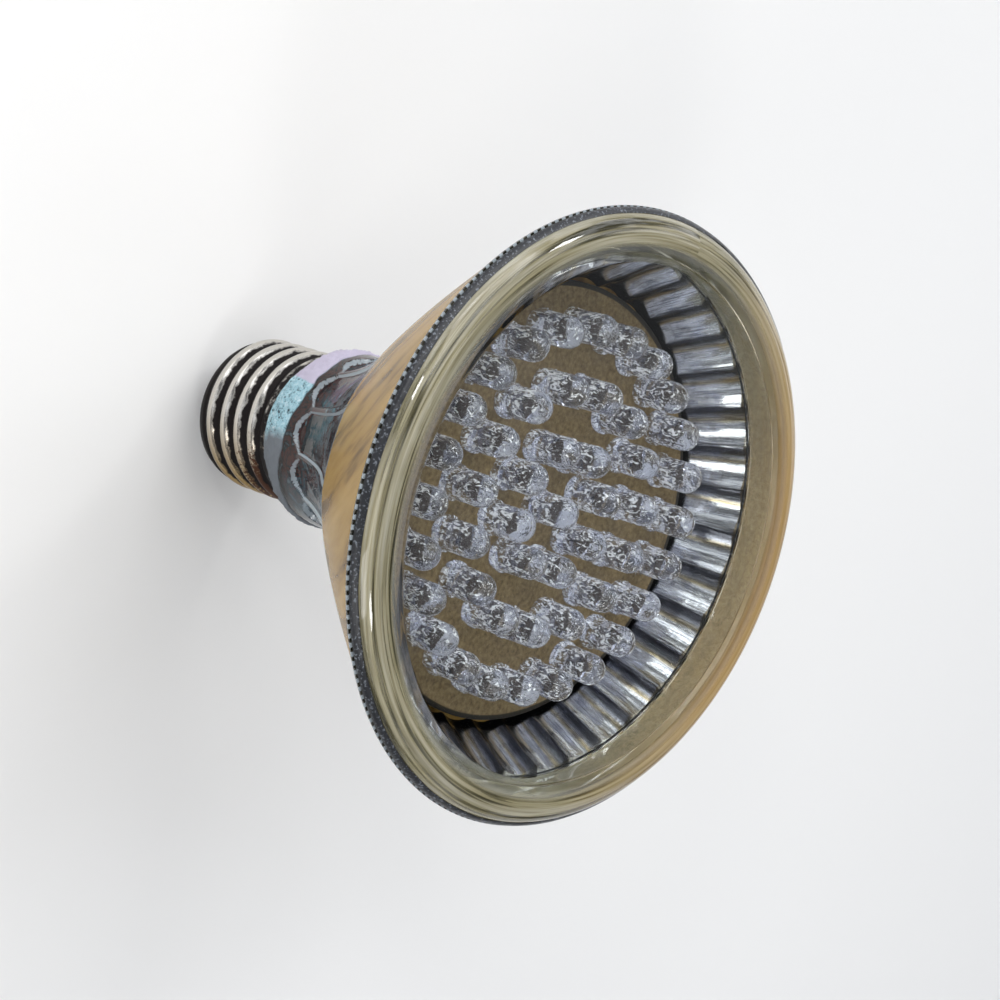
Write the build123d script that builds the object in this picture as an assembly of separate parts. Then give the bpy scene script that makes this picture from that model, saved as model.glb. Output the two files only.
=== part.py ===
from build123d import *
import math
import os

# Reflector lamp with 5 mm light-emitting diodes behind a clear lens, on a large screw cap.
# Millimetres. The origin is the tip of the centre contact, and +Z runs up the axis to the lens.

# Screw cap: the standard 27 mm size, with its knuckle thread as rings
THREAD_CREST_DIA = 26.2
THREAD_ROOT_DIA = 24.4
THREAD_PITCH = 3.63
THREAD_TURNS = 4
THREAD_START = 7.5
SHELL_WALL = 0.3
SHELL_COLLAR_DIA = 25.0
SHELL_COLLAR_LENGTH = 3.4
SHELL_TUCK_DIA = 19.6
SHELL_TUCK_HEIGHT = 6.2
SHELL_SHOULDER = 1.2
CREST_SHARE = 0.3

# Contact end
SOLDER_DIA = 5.0
SOLDER_HEIGHT = 0.8
SOLDER_FLAT_DIA = 2.0
SOLDER_EDGE = 0.24
CONTACT_DIA = 9.6
CONTACT_THICK = 0.6
INSULATOR_FACE_DIA = 12.0
INSULATOR_LIP = 0.3
INSULATOR_TOP = 1.5
WIRE_DIA = 0.9
WIRE_CLEAR = 0.15

# Glass body
RIM_DIA = 95.2
RIM_HEIGHT = 86.4
RIM_EDGE = 1.4
RIM_CHAMFER = 0.3
SEAT_DEPTH = 5.0
NECK_RISE = 4.2
NECK_DIA = 29.8
NECK_LENGTH = 6.0
NECK_ROUND = 2.2
GLASS_WALL = 2.2
BOWL_WALL = 3.2
STEM_DIA = 22.6
STEM_WALL = 1.6
STEM_DEPTH = 12.0
FLARE_HEIGHT = 14.5
FLARE_GAIN = 7.2
FLARE_SAG = 0.85
FLARE_STEPS = 4
THROAT_STEPS = 2
BOWL_BULGE = 0.8
WINDOW_COUNT = 12
WINDOW_PHASE = -86.7
WINDOW_LENGTH = 8.0
WINDOW_WIDTH = 6.6
WINDOW_CUT = 0.5

# Flutes pressed in the mirror
FLUTES = 35
FLUTE_DEPTH = 0.9
FLUTE_OVERLAP = 0.06
MIRROR_INSET = 7.7
FLUTE_PHASE = 93.1

# Lens and its bond line
BOND_THICK = 0.6
BOND_INSET = 0.4
LENS_CLEARANCE = 0.3
LENS_RISE = 2.7
LENS_EDGE = 0.4
BEAD_INSET = 4.1
BEAD_BULGE = 0.7
BEAD_STEPS = 4
PANE_INSET = 7.9
PANE_THICK = 2.2
PANE_SINK = 0.7
PANE_SLOPE = 1.6
SKIRT_OUTSET = 3.0
SKIRT_WALL = 1.0

# Board with the diodes
BOARD_INSET = 13.1
BOARD_THICK = 1.6
BOARD_DROP = 12.9
BOARD_CLEARANCE = 0.2
BOARD_LEDGE = 1.6
LEDGE_DROP = 1.4
LED_DIA = 5.0
LED_LENGTH = 8.7
LED_FACES = 10
LED_DOME_ANGLES = (0, 38, 72)
LED_EDGE_GAP = 3.95
LED_RING_COUNTS = (1, 8, 15, 24)
LED_PHASE = 92.1

# Driver standing in the neck
DRIVER_WIDTH = 17.0
DRIVER_THICK = 1.6
DRIVER_BOTTOM = 31.0
DRIVER_OFFSET = 1.0
FILM_CAP_SIZE = (15.0, 7.6, 12.0)
FILM_CAP_HEIGHT = 34.0
FILM_CAP_ROUND = 2.2
CAN_DIA = 8.0
CAN_LENGTH = 14.0
CAN_HEIGHT = 34.0
RECTIFIER_SIZE = (6.5, 3.0, 6.0)
RESISTOR_DIA = 3.2
RESISTOR_LENGTH = 9.0
RESISTOR_DROP = 12.0
RECTIFIER_GAP = 4.0
SOLDER_SINK = 1.0

# Places that follow from the sizes
THREAD_END = THREAD_START + THREAD_TURNS * THREAD_PITCH
SHELL_TOP = THREAD_END + SHELL_COLLAR_LENGTH
SHELL_BORE = THREAD_ROOT_DIA / 2 - SHELL_WALL
CONTACT_FACE = SOLDER_HEIGHT
INSULATOR_FACE = CONTACT_FACE + CONTACT_THICK
NECK_START = SHELL_TOP + NECK_RISE
NECK_END = NECK_START + NECK_LENGTH
FLARE_END = NECK_END + FLARE_HEIGHT
FLARE_RADIUS = NECK_DIA / 2 + FLARE_GAIN
RIM_RADIUS = RIM_DIA / 2
SEAT_HEIGHT = RIM_HEIGHT - SEAT_DEPTH
BEAD_RADIUS = RIM_RADIUS - BEAD_INSET
PANE_RADIUS = RIM_RADIUS - PANE_INSET
SEAT_RADIUS = PANE_RADIUS + SKIRT_OUTSET
MIRROR_TOP = RIM_RADIUS - MIRROR_INSET
BOARD_RADIUS = RIM_RADIUS - BOARD_INSET
BOARD_TOP = RIM_HEIGHT - BOARD_DROP
BOARD_BOTTOM = BOARD_TOP - BOARD_THICK
MIRROR_FOOT = BOARD_RADIUS + BOARD_CLEARANCE
LEDGE_RADIUS = BOARD_RADIUS - BOARD_LEDGE
LED_RING_GAP = (BOARD_RADIUS - LED_EDGE_GAP - LED_DIA / 2) / (len(LED_RING_COUNTS) - 1)
BOND_TOP = RIM_HEIGHT + BOND_THICK
RECTIFIER_HEIGHT = FILM_CAP_HEIGHT + FILM_CAP_SIZE[2] + RECTIFIER_GAP
LENS_TOP = BOND_TOP + LENS_RISE


def turned(*outline):
    """A solid turned about the lamp's axis from edges drawn as (radius, height)."""
    return revolve(Plane.XZ * make_face(Curve() + list(outline)), Axis.Z)


def around(count, phase=0.0):
    """Turns about the lamp's axis, one for each of count equal places."""
    return [Rot(0, 0, phase + 360 * i / count) for i in range(count)]


def bowed(start, end, sag, steps):
    """Points of a shallow curve from start to end, as few straight runs for coarse facets."""
    points = []
    for step in range(steps + 1):
        share = step / steps
        radius = start[0] + (end[0] - start[0]) * share - 4 * sag * share * (1 - share)
        points.append((radius, start[1] + (end[1] - start[1]) * share))
    return points


def contact_solder():
    """Blob of solder that closes the eyelet, flat where it touches a socket."""
    r, flat = SOLDER_DIA / 2, SOLDER_FLAT_DIA / 2
    return turned(
        Polyline((0, SOLDER_HEIGHT), (0, 0), (flat, 0)),
        Polyline((flat, 0), (r, SOLDER_HEIGHT - SOLDER_EDGE), (r, SOLDER_HEIGHT), (0, SOLDER_HEIGHT)),
    )


def centre_contact():
    """Flat eyelet with a hole for the lead."""
    hole = WIRE_DIA / 2 + WIRE_CLEAR
    r = CONTACT_DIA / 2
    return turned(Polyline((hole, CONTACT_FACE), (r, CONTACT_FACE), (r, INSULATOR_FACE),
                           (hole, INSULATOR_FACE), close=True))


def cap_insulator():
    """Black glass cone between the eyelet and the shell, with a seat for each."""
    hole = WIRE_DIA / 2 + WIRE_CLEAR
    face = INSULATOR_FACE_DIA / 2
    foot = SHELL_TUCK_DIA / 2
    floor = SHELL_TUCK_HEIGHT + SHELL_WALL
    step = SHELL_BORE - SHELL_SHOULDER
    lip = INSULATOR_FACE - INSULATOR_LIP
    return turned(Polyline(
        (hole, INSULATOR_FACE), (CONTACT_DIA / 2, INSULATOR_FACE), (CONTACT_DIA / 2, lip),
        (face, lip), (foot, SHELL_TUCK_HEIGHT), (foot, floor), (step, floor),
        (step, floor + INSULATOR_TOP), (hole, floor + INSULATOR_TOP), close=True))


def thread_outline():
    """Roots and flat crests of the knuckle thread from foot to collar."""
    crest, root = THREAD_CREST_DIA / 2, THREAD_ROOT_DIA / 2
    points = []
    for turn in range(THREAD_TURNS):
        foot = THREAD_START + turn * THREAD_PITCH
        rise = (1 - CREST_SHARE) / 2
        for share, radius in ((0, root), (rise, crest), (rise + CREST_SHARE, crest)):
            points.append((radius, foot + share * THREAD_PITCH))
    return points


def screw_shell():
    """Plated shell: tucked foot, knuckle thread and plain collar."""
    tuck, collar = SHELL_TUCK_DIA / 2, SHELL_COLLAR_DIA / 2
    root, floor = THREAD_ROOT_DIA / 2, SHELL_TUCK_HEIGHT + SHELL_WALL
    return turned(Polyline(
        (tuck, SHELL_TUCK_HEIGHT), (root - SHELL_SHOULDER, SHELL_TUCK_HEIGHT),
        (root, SHELL_TUCK_HEIGHT + SHELL_SHOULDER), *thread_outline(),
        (collar, THREAD_END), (collar, SHELL_TOP), (SHELL_BORE, SHELL_TOP),
        (SHELL_BORE, floor + SHELL_SHOULDER), (SHELL_BORE - SHELL_SHOULDER, floor),
        (tuck, floor), close=True))


def glass_outside():
    """The outer line of the glass from the stem in the cap to the rim."""
    stem, neck = STEM_DIA / 2, NECK_DIA / 2
    edge = (RIM_RADIUS - RIM_EDGE, RIM_HEIGHT - RIM_EDGE)
    bowl_mid = ((FLARE_RADIUS + edge[0]) / 2 + BOWL_BULGE, (FLARE_END + edge[1]) / 2)
    shoulder = NECK_START - NECK_ROUND
    soft = NECK_ROUND * (1 - math.sqrt(0.5))
    return [
        Polyline((stem, STEM_DEPTH), (stem, shoulder), (neck - NECK_ROUND, shoulder),
                 (neck - soft, shoulder + soft), (neck, NECK_START),
                 *bowed((neck, NECK_END), (FLARE_RADIUS, FLARE_END), FLARE_SAG, FLARE_STEPS)),
        ThreePointArc((FLARE_RADIUS, FLARE_END), bowl_mid, edge),
        Polyline(edge, (RIM_RADIUS, RIM_HEIGHT - RIM_CHAMFER), (RIM_RADIUS - RIM_CHAMFER, RIM_HEIGHT)),
    ]


def glass_inside():
    """The inner line from the lens seat down past the mirror and the ledge to the stem."""
    neck = NECK_DIA / 2 - GLASS_WALL
    stem = STEM_DIA / 2 - STEM_WALL
    flare = FLARE_RADIUS - BOWL_WALL
    under = (LEDGE_RADIUS - LEDGE_DROP, BOARD_BOTTOM - LEDGE_DROP)
    throat = bowed((flare, FLARE_END), (neck, NECK_END), FLARE_SAG, THROAT_STEPS)
    return [
        Polyline((RIM_RADIUS - RIM_CHAMFER, RIM_HEIGHT), (SEAT_RADIUS, RIM_HEIGHT),
                 (SEAT_RADIUS, SEAT_HEIGHT), (MIRROR_TOP, SEAT_HEIGHT), (MIRROR_FOOT, BOARD_BOTTOM),
                 (LEDGE_RADIUS, BOARD_BOTTOM), under, *throat, (neck, NECK_START),
                 (stem, NECK_START - NECK_ROUND), (stem, STEM_DEPTH), (STEM_DIA / 2, STEM_DEPTH)),
    ]


def flute_cutter():
    """Tapered round groove along the mirror, as wide as one share of it all the way up."""
    half_turn = math.radians(180 / FLUTES)
    foot, top = MIRROR_FOOT, MIRROR_TOP
    slope = math.atan2(top - foot, SEAT_HEIGHT - BOARD_BOTTOM)
    outward = Vector(math.cos(slope), 0, -math.sin(slope))

    def section(share):
        """Centre and radius of the groove at a share of the way from ledge to seat."""
        radius = foot + (top - foot) * share
        height = BOARD_BOTTOM + (SEAT_HEIGHT - BOARD_BOTTOM) * share
        half_chord = radius * math.sin(half_turn) + FLUTE_OVERLAP
        groove = (half_chord ** 2 + FLUTE_DEPTH ** 2) / (2 * FLUTE_DEPTH)
        ridge = Vector(radius * math.cos(half_turn), 0, height)
        return ridge + outward * (FLUTE_DEPTH - groove), groove

    low, low_radius = section(-0.5)
    high, high_radius = section(1.5)
    base = (Align.CENTER, Align.CENTER, Align.MIN)
    cone = Cone(low_radius, high_radius, (high - low).length, align=base)
    cutter = Plane(origin=low, x_dir=(0, 1, 0), z_dir=high - low) * cone
    cutter = split(cutter, bisect_by=Plane.XY.offset(BOARD_BOTTOM), keep=Keep.TOP)
    return split(cutter, bisect_by=Plane.XY.offset(SEAT_HEIGHT), keep=Keep.BOTTOM)


def window_cutter():
    """Block that takes one shallow flat window off the flaring neck."""
    low, mid, high = bowed((NECK_DIA / 2, NECK_END), (FLARE_RADIUS, FLARE_END), FLARE_SAG, 2)
    slope = math.degrees(math.atan2(mid[0] - low[0], mid[1] - low[1]))
    radius = (low[0] + mid[0]) / 2 - WINDOW_CUT
    face = Pos(radius, 0, (low[1] + mid[1]) / 2) * Rot(0, slope, 0)
    block = Box(BOWL_WALL, WINDOW_WIDTH, WINDOW_LENGTH, align=(Align.MIN, Align.CENTER, Align.CENTER))
    return face * block


def glass_reflector():
    """Pressed glass bowl and neck with a fluted mirror inside and windows round the neck."""
    body = turned(*glass_outside(), *glass_inside())
    flute, window = flute_cutter(), window_cutter()
    body -= [turn * flute for turn in around(FLUTES, FLUTE_PHASE)]
    body -= [turn * window for turn in around(WINDOW_COUNT, WINDOW_PHASE)]
    return body


def lens_bond():
    """Bond line between the rim of the glass and the lens."""
    inner, outer = SEAT_RADIUS, RIM_RADIUS - BOND_INSET
    return turned(Polyline((inner, RIM_HEIGHT), (outer, RIM_HEIGHT), (outer, BOND_TOP),
                           (inner, BOND_TOP), close=True))


def front_lens():
    """Clear pressed lens: flat pane, raised bead and a skirt that drops onto its seat."""
    outer = RIM_RADIUS - BOND_INSET
    front = LENS_TOP - PANE_SINK
    back = front - PANE_THICK
    skirt = SEAT_RADIUS - LENS_CLEARANCE
    hollow = skirt - SKIRT_WALL
    flank = bowed((BEAD_RADIUS, LENS_TOP), (outer, BOND_TOP + LENS_EDGE), -BEAD_BULGE, BEAD_STEPS)
    return turned(Polyline(
        (0, back), (hollow, back), (hollow, SEAT_HEIGHT), (skirt, SEAT_HEIGHT), (skirt, BOND_TOP),
        (outer, BOND_TOP), *reversed(flank), (PANE_RADIUS + PANE_SLOPE, LENS_TOP),
        (PANE_RADIUS, front), (0, front), close=True))


def led_board():
    """Round board that rests on the ledge below the mirror."""
    return Pos(0, 0, BOARD_BOTTOM) * Cylinder(BOARD_RADIUS, BOARD_THICK,
                                               align=(Align.CENTER, Align.CENTER, Align.MIN))


def diode():
    """Clear 5 mm diode on its board: few faces, because there are many of them."""
    radius = LED_DIA / 2
    levels = [(0, radius)]
    for angle in LED_DOME_ANGLES:
        rise = math.radians(angle)
        levels.append((LED_LENGTH - radius * (1 - math.sin(rise)), radius * math.cos(rise)))
    body = Part()
    for (low, wide), (high, narrow) in zip(levels, levels[1:]):
        shrink = (wide - narrow) * math.cos(math.pi / LED_FACES)
        taper = math.degrees(math.atan2(shrink, high - low))
        body += Pos(0, 0, low) * extrude(RegularPolygon(wide, LED_FACES), high - low, taper=taper)
    return body


def diode_places():
    """Places on the board: one in the middle and rings of equal spacing round it."""
    places = []
    for ring, count in enumerate(LED_RING_COUNTS):
        for turn in around(count, LED_PHASE + 180 / count):
            places.append(turn * Pos(ring * LED_RING_GAP, 0, BOARD_TOP))
    return places


def cap_cement():
    """Cement that fills the shell round the glass stem and swells above the collar."""
    stem, collar = STEM_DIA / 2, SHELL_COLLAR_DIA / 2
    shoulder = NECK_START - NECK_ROUND
    return turned(Polyline((stem, STEM_DEPTH), (SHELL_BORE, STEM_DEPTH), (SHELL_BORE, SHELL_TOP),
                           (collar, SHELL_TOP), (NECK_DIA / 2 - NECK_ROUND, shoulder),
                           (stem, shoulder), close=True))


def driver_board():
    """Board on edge in the neck, with its rectifier, resistors and two leads soldered on."""
    base = (Align.CENTER, Align.CENTER, Align.MIN)
    height = BOARD_BOTTOM - DRIVER_BOTTOM
    board = Pos(0, DRIVER_OFFSET, DRIVER_BOTTOM) * Box(DRIVER_WIDTH, DRIVER_THICK, height, align=base)
    front = DRIVER_OFFSET - DRIVER_THICK / 2
    w, d, h = RECTIFIER_SIZE
    board += Pos(0, front - d / 2, RECTIFIER_HEIGHT) * Box(w, d, h, align=base)
    for side in (-1, 1):
        place = Pos(side * DRIVER_WIDTH / 4, front - RESISTOR_DIA / 4, BOARD_BOTTOM - RESISTOR_DROP)
        board += place * Cylinder(RESISTOR_DIA / 2, RESISTOR_LENGTH)
    reach = DRIVER_BOTTOM - INSULATOR_FACE + SOLDER_SINK
    board += Pos(0, 0, INSULATOR_FACE) * Cylinder(WIRE_DIA / 2, reach, align=base)
    side_wire = STEM_DIA / 2 - STEM_WALL - WIRE_DIA
    bend = STEM_DEPTH - WIRE_DIA
    rise = DRIVER_BOTTOM - bend + SOLDER_SINK
    board += Pos(-side_wire, 0, bend) * Cylinder(WIRE_DIA / 2, rise, align=base)
    run = SHELL_BORE - side_wire
    board += Pos(-side_wire, 0, bend) * Rot(0, -90, 0) * Cylinder(WIRE_DIA / 2, run, align=base)
    return board


def film_capacitor():
    """Dipped film capacitor on the front of the driver board."""
    w, d, h = FILM_CAP_SIZE
    y = DRIVER_OFFSET - DRIVER_THICK / 2 - d / 2
    block = Pos(0, y, FILM_CAP_HEIGHT + h / 2) * Box(w, d, h)
    return fillet(block.edges().filter_by(Axis.Z), FILM_CAP_ROUND)


def smoothing_capacitor():
    """Round can on the back of the driver board."""
    y = DRIVER_OFFSET + DRIVER_THICK / 2 + CAN_DIA / 2
    return Pos(0, y, CAN_HEIGHT + CAN_LENGTH / 2) * Cylinder(CAN_DIA / 2, CAN_LENGTH)


PARTS = {
    "contact_solder": contact_solder(),
    "centre_contact": centre_contact(),
    "cap_insulator": cap_insulator(),
    "screw_shell": screw_shell(),
    "cap_cement": cap_cement(),
    "glass_reflector": glass_reflector(),
    "lens_bond": lens_bond(),
    "front_lens": front_lens(),
    "led_board": led_board(),
    "driver_board": driver_board(),
    "film_capacitor": film_capacitor(),
    "smoothing_capacitor": smoothing_capacitor(),
}
one_diode = diode()
for number, place in enumerate(diode_places(), 1):
    PARTS[f"led_{number:02d}"] = place * one_diode

os.makedirs("parts", exist_ok=True)
for name, shape in PARTS.items():
    export_step(shape, f"parts/{name}.step")
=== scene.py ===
import math
import random

import bmesh
import bpy
from mathutils import Matrix, Vector, noise


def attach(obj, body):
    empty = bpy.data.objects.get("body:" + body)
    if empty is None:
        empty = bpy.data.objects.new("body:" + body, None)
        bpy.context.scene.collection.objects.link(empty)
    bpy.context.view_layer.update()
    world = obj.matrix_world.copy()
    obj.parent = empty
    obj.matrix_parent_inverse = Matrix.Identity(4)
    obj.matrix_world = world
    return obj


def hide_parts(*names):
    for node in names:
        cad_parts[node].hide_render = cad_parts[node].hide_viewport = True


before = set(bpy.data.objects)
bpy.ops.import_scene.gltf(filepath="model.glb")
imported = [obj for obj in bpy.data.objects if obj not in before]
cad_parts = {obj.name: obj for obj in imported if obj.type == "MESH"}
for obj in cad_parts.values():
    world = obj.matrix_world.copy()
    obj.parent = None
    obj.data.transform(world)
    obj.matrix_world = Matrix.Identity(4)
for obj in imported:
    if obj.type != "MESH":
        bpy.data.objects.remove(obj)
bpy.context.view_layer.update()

# Centre contact: a brass eyelet rolled into the end of the cap, closed with a blob of
# lead-free solder over the cut end of the wire. Solder sets bright and slightly puckered.
MM = 0.001
CONTACT_RADIUS = 4.8
CONTACT_FOOT = 0.8
CONTACT_TOP = 1.4
SOLDER_RADIUS = 2.5
BRASS = "#B59A5E"
BRASS_STAIN = "#6E5A34"
SOLDER_GREY = "#B9BABB"


def linear(code):
    """Linear colour from an sRGB hex value."""
    shares = [int(code[i:i + 2], 16) / 255 for i in (1, 3, 5)]
    return [s / 12.92 if s <= 0.04045 else ((s + 0.055) / 1.055) ** 2.4 for s in shares] + [1]


def new_finish(name):
    """Empty material and its node tree."""
    made = bpy.data.materials.new(name)
    made.use_nodes = True
    made.node_tree.nodes.clear()
    return made, made.node_tree


def add(tree, kind, settings, links=()):
    """Adds one node: settings go to sockets, properties or ramp stops, links feed sockets."""
    made = tree.nodes.new("ShaderNode" + kind)
    for key, value in settings.items():
        if key == "stops":
            ends = made.color_ramp.elements
            ends[0].position, ends[0].color = value[0]
            ends[1].position, ends[1].color = value[-1]
            for place, colour in value[1:-1]:
                ends.new(place).color = colour
        elif isinstance(key, int) or key in made.inputs:
            made.inputs[key].default_value = value
        else:
            setattr(made, key, value)
    for key, source in dict(links).items():
        tree.links.new(source, made.inputs[key])
    return made


def turned(line, steps, closed=True):
    """Points and faces turned about the axis; line(angle) gives (radius, height) pairs."""
    points, faces = [], []
    for step in range(steps):
        angle = math.tau * step / steps
        pairs = line(angle)
        points += [(r * math.cos(angle), r * math.sin(angle), z) for r, z in pairs]
    size = len(pairs)
    for step in range(steps):
        here, there = step * size, (step + 1) % steps * size
        for low in range(size if closed else size - 1):
            high = (low + 1) % size
            faces.append((here + low, there + low, there + high, here + high))
    return points, faces


def piece(name, shape, finishes, replaced=(), sharp=35):
    """Object from points in millimetres and faces, shaded smooth up to the sharp angle."""
    points, faces = shape
    data = bpy.data.meshes.new(name)
    data.from_pydata([[c * MM for c in point] for point in points], [], faces)
    tidy = bmesh.new()
    tidy.from_mesh(data)
    bmesh.ops.remove_doubles(tidy, verts=tidy.verts, dist=0.0005 * MM)
    bmesh.ops.recalc_face_normals(tidy, faces=tidy.faces)
    tidy.to_mesh(data)
    tidy.free()
    data.shade_smooth()
    data.set_sharp_from_angle(angle=math.radians(sharp))
    for finish in finishes:
        data.materials.append(finish)
    made = bpy.data.objects.new(name, data)
    bpy.context.scene.collection.objects.link(made)
    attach(made, "root")
    if replaced:
        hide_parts(*replaced)
    return made


def solder_line(angle):
    """Blob with a puckered side, flat where the socket spring has pressed it."""
    pucker = 0.12 * math.sin(3 * angle + 0.6) + 0.07 * math.sin(7 * angle)
    shares = [i / 10 for i in range(11)]
    side = [(1 + (SOLDER_RADIUS - 1 + pucker * s) * math.sin(s * math.pi / 2),
             CONTACT_FOOT * (1 - math.cos(s * math.pi / 2))) for s in shares]
    return [(0, 0)] + side + [(0, CONTACT_FOOT)]


brass, tree = new_finish("brass eyelet, stamped and dulled")
where = add(tree, "TexCoord", {})
blotch = add(tree, "TexNoise", {"Scale": 1 / (1.2 * MM), "Detail": 4.0},
             {"Vector": where.outputs["Object"]})
stain = add(tree, "ValToRGB", {"stops": [(0.42, linear(BRASS_STAIN)), (0.6, linear(BRASS))]},
            {"Fac": blotch.outputs[0]})
metal = add(tree, "BsdfPrincipled", {"Metallic": 1.0, "Roughness": 0.32},
            {"Base Color": stain.outputs[0]})
add(tree, "OutputMaterial", {}, {"Surface": metal.outputs[0]})

solder, tree = new_finish("tin solder, set in air")
where = add(tree, "TexCoord", {})
skin = add(tree, "TexNoise", {"Scale": 1 / (0.5 * MM), "Detail": 3.0},
           {"Vector": where.outputs["Object"]})
dull = add(tree, "MapRange", {"To Min": 0.22, "To Max": 0.5}, {"Value": skin.outputs[0]})
metal = add(tree, "BsdfPrincipled", {"Base Color": linear(SOLDER_GREY), "Metallic": 1.0},
            {"Roughness": dull.outputs[0]})
add(tree, "OutputMaterial", {}, {"Surface": metal.outputs[0]})

piece("solder_blob", turned(solder_line, 48), [solder], ["contact_solder"])
piece("contact_eyelet", turned(lambda angle: [
    (0.6, CONTACT_FOOT), (CONTACT_RADIUS - 0.25, CONTACT_FOOT),
    (CONTACT_RADIUS, CONTACT_FOOT + 0.2),
    (CONTACT_RADIUS, CONTACT_TOP), (0.6, CONTACT_TOP)], 64), [brass],
      ["centre_contact"])

# Insulator: black glass poured between eyelet and shell while hot, so its edges are rounded
# and its face is glossy with a few tiny pits.
INSULATOR_FOOT = 1.1
INSULATOR_FACE_RADIUS = 6.0
SHELL_FOOT = 6.2
SHELL_TUCK = 9.8
VITRITE = "#15131A"

vitrite, tree = new_finish("black glass, poured")
where = add(tree, "TexCoord", {})
pits = add(tree, "TexVoronoi", {"Scale": 1 / (0.9 * MM)}, {"Vector": where.outputs["Object"]})
dent = add(tree, "Bump", {"Strength": 0.25, "Distance": 0.05 * MM},
           {"Height": pits.outputs["Distance"]})
glass = add(tree, "BsdfPrincipled", {"Base Color": linear(VITRITE), "Roughness": 0.16, "IOR": 1.55},
            {"Normal": dent.outputs[0]})
add(tree, "OutputMaterial", {}, {"Surface": glass.outputs[0]})

piece("insulator_cone", turned(lambda angle: [
    (0.6, CONTACT_TOP), (CONTACT_RADIUS, CONTACT_TOP), (CONTACT_RADIUS + 0.05, INSULATOR_FOOT),
    (INSULATOR_FACE_RADIUS - 0.5, INSULATOR_FOOT), (INSULATOR_FACE_RADIUS, INSULATOR_FOOT + 0.2),
    (INSULATOR_FACE_RADIUS + 0.5, INSULATOR_FOOT + 0.8), (SHELL_TUCK - 0.3, SHELL_FOOT - 0.45),
    (SHELL_TUCK, SHELL_FOOT), (SHELL_TUCK, SHELL_FOOT + 0.3), (10.7, SHELL_FOOT + 0.3), (10.7, 8.0),
    (0.6, 8.0)], 96), [vitrite], ["cap_insulator"])

# Screw shell: thin brass pressed between rolls into a right-hand knuckle thread and plated
# with nickel. Handling leaves the crests bright, and grime and rust stay in the roots, which are
# also darkened with painted shade. Towards +X the nickel is warm, partly tarnish and partly a
# painted warm reflection.
SHELL_WALL = 0.3
SHELL_TOP = 25.42
THREAD_START = 7.0
THREAD_END = 24.1
THREAD_PITCH = 3.63
ROOT_RADIUS = 12.2
CREST_RADIUS = 13.1
COLLAR_RADIUS = 12.5
RING_STEP = 0.18
RING_COUNT = 102
NICKEL = "#CBC7BF"
NICKEL_TARNISH_AND_WARM_REFLECTION = "#9A8256"
ROOT_GRIME_AND_SHADE = "#120C0B"
RUST = "#4A2C1A"


def smooth_step(value, low, high):
    """0 below low, 1 above high, and a soft ramp between."""
    share = min(1, max(0, (value - low) / (high - low)))
    return share * share * (3 - 2 * share)


def shell_radius(angle, height):
    """Outside of the shell: knuckle thread that fades in at the foot and out at the collar."""
    turn = height / THREAD_PITCH - angle / math.tau
    knuckle = (0.5 + 0.5 * math.cos(math.tau * turn)) ** 0.8
    share = smooth_step(height, THREAD_START, THREAD_START + 1.6)
    share *= 1 - smooth_step(height, THREAD_END - 1.6, THREAD_END)
    collar = (COLLAR_RADIUS - ROOT_RADIUS) * smooth_step(height, THREAD_END - 1.5, THREAD_END)
    dent = 0.05 * noise.noise(Vector((3 * math.cos(angle), 3 * math.sin(angle), height / 5)))
    return ROOT_RADIUS + collar + (CREST_RADIUS - ROOT_RADIUS) * knuckle * share + dent


def shell_line(angle):
    """Foot, thread and collar outside, and the same line a wall further in."""
    heights = [THREAD_START + RING_STEP * i for i in range(RING_COUNT)]
    heights = [h for h in heights if h < SHELL_TOP - 0.1] + [SHELL_TOP]
    outside = [(shell_radius(angle, h), h) for h in heights]
    first = outside[0][0]
    foot = [(SHELL_TUCK, SHELL_FOOT), (first - 1.3, SHELL_FOOT), (first - 0.6, SHELL_FOOT + 0.13),
            (first - 0.17, SHELL_FOOT + 0.4)]
    lip = [(outside[-1][0] - 0.05, SHELL_TOP + 0.06), (outside[-1][0] - SHELL_WALL, SHELL_TOP)]
    inside = [(r - SHELL_WALL, h) for r, h in reversed(outside[:-1])]
    return foot + outside + lip + inside + [(first - 1.3, SHELL_FOOT + SHELL_WALL),
                                            (SHELL_TUCK, SHELL_FOOT + SHELL_WALL)]


nickel, tree = new_finish("nickel-plated brass, rolled and worn")
where = add(tree, "TexCoord", {})
flat = add(tree, "VectorMath", {"operation": "MULTIPLY", 1: (1, 1, 0)},
           {0: where.outputs["Object"]})
radius = add(tree, "VectorMath", {"operation": "LENGTH"}, {0: flat.outputs[0]})
axes = add(tree, "SeparateXYZ", {}, {0: where.outputs["Object"]})
streak = add(tree, "TexNoise", {"Scale": 1 / (1.6 * MM), "Detail": 5.0, "Roughness": 0.65},
             {"Vector": where.outputs["Object"]})
depth = add(tree, "MapRange", {"From Min": 12.95 * MM, "From Max": 12.35 * MM},
            {"Value": radius.outputs["Value"]})
uneven = add(tree, "MapRange", {"From Min": 0.3, "From Max": 0.7, "To Min": 0.2, "To Max": 0.72},
             {"Value": streak.outputs[0]})
# Roots darken: partly grime and partly painted shade for the shadow in the hollows.
root_grime_and_shade = add(tree, "Math", {"operation": "MULTIPLY_ADD", 1: 0.75},
            {0: depth.outputs[0], 2: uneven.outputs[0]})
root = add(tree, "ValToRGB", {"stops": [(0.66, (0, 0, 0, 1)), (0.92, (1, 1, 1, 1))]},
           {"Fac": root_grime_and_shade.outputs[0]})
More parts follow.
